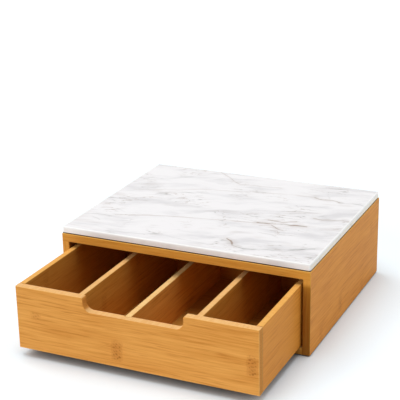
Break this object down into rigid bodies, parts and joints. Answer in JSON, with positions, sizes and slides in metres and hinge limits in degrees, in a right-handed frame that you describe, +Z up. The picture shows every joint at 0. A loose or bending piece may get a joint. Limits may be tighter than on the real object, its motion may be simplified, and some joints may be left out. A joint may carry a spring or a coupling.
{
  "type": "coffee capsule holder",
  "caption": "Low bamboo cabinet with a marble top slab and one sliding drawer divided into compartments, with a finger notch in its front.",
  "frame": {"origin": "on the floor, at the middle of the outline that the holder has with its drawer pulled out as in the picture", "axes": "+X to the holder's right seen from the front, -Y towards the front where the drawer comes out, +Z up"},
  "size_m": [0.34, 0.411, 0.1207],
  "materials": {
    "bamboo": "satin lacquered honey bamboo with fine straight grain",
    "dowel_wood": "plain beech",
    "marble": "polished white marble with thin grey-brown veins",
    "bond": "dark bonding sheet",
    "silicone": "matt dark silicone",
    "screw_steel": "zinc-plated steel"
  },
  "bodies": {
    "cabinet": {"left_side_panel": "bamboo", "right_side_panel": "bamboo", "top_panel": "bamboo", "bottom_panel": "bamboo", "back_panel": "bamboo", "drawer_stop_left": "bamboo", "drawer_stop_right": "bamboo", "top_panel_dowels": "dowel_wood", "bottom_panel_dowels": "dowel_wood", "foot_front_left": "silicone", "foot_front_right": "silicone", "foot_back_left": "silicone", "foot_back_right": "silicone", "marble_slab": "marble", "slab_bond_sheet": "bond", "back_panel_screws": "screw_steel", "drawer_stop_screws": "screw_steel"},
    "drawer": {"drawer_front": "bamboo", "drawer_left_side": "bamboo", "drawer_right_side": "bamboo", "drawer_back": "bamboo", "drawer_bottom": "bamboo", "divider_left": "bamboo", "divider_middle": "bamboo", "divider_right": "bamboo", "drawer_front_dowels": "dowel_wood", "drawer_back_dowels": "dowel_wood"}
  },
  "joints": [
    {"name": "drawer_slide", "type": "slide", "parent": "cabinet", "child": "drawer", "axis": [0, -1, 0], "range_m": [-0.131, 0.069]}
  ]
}
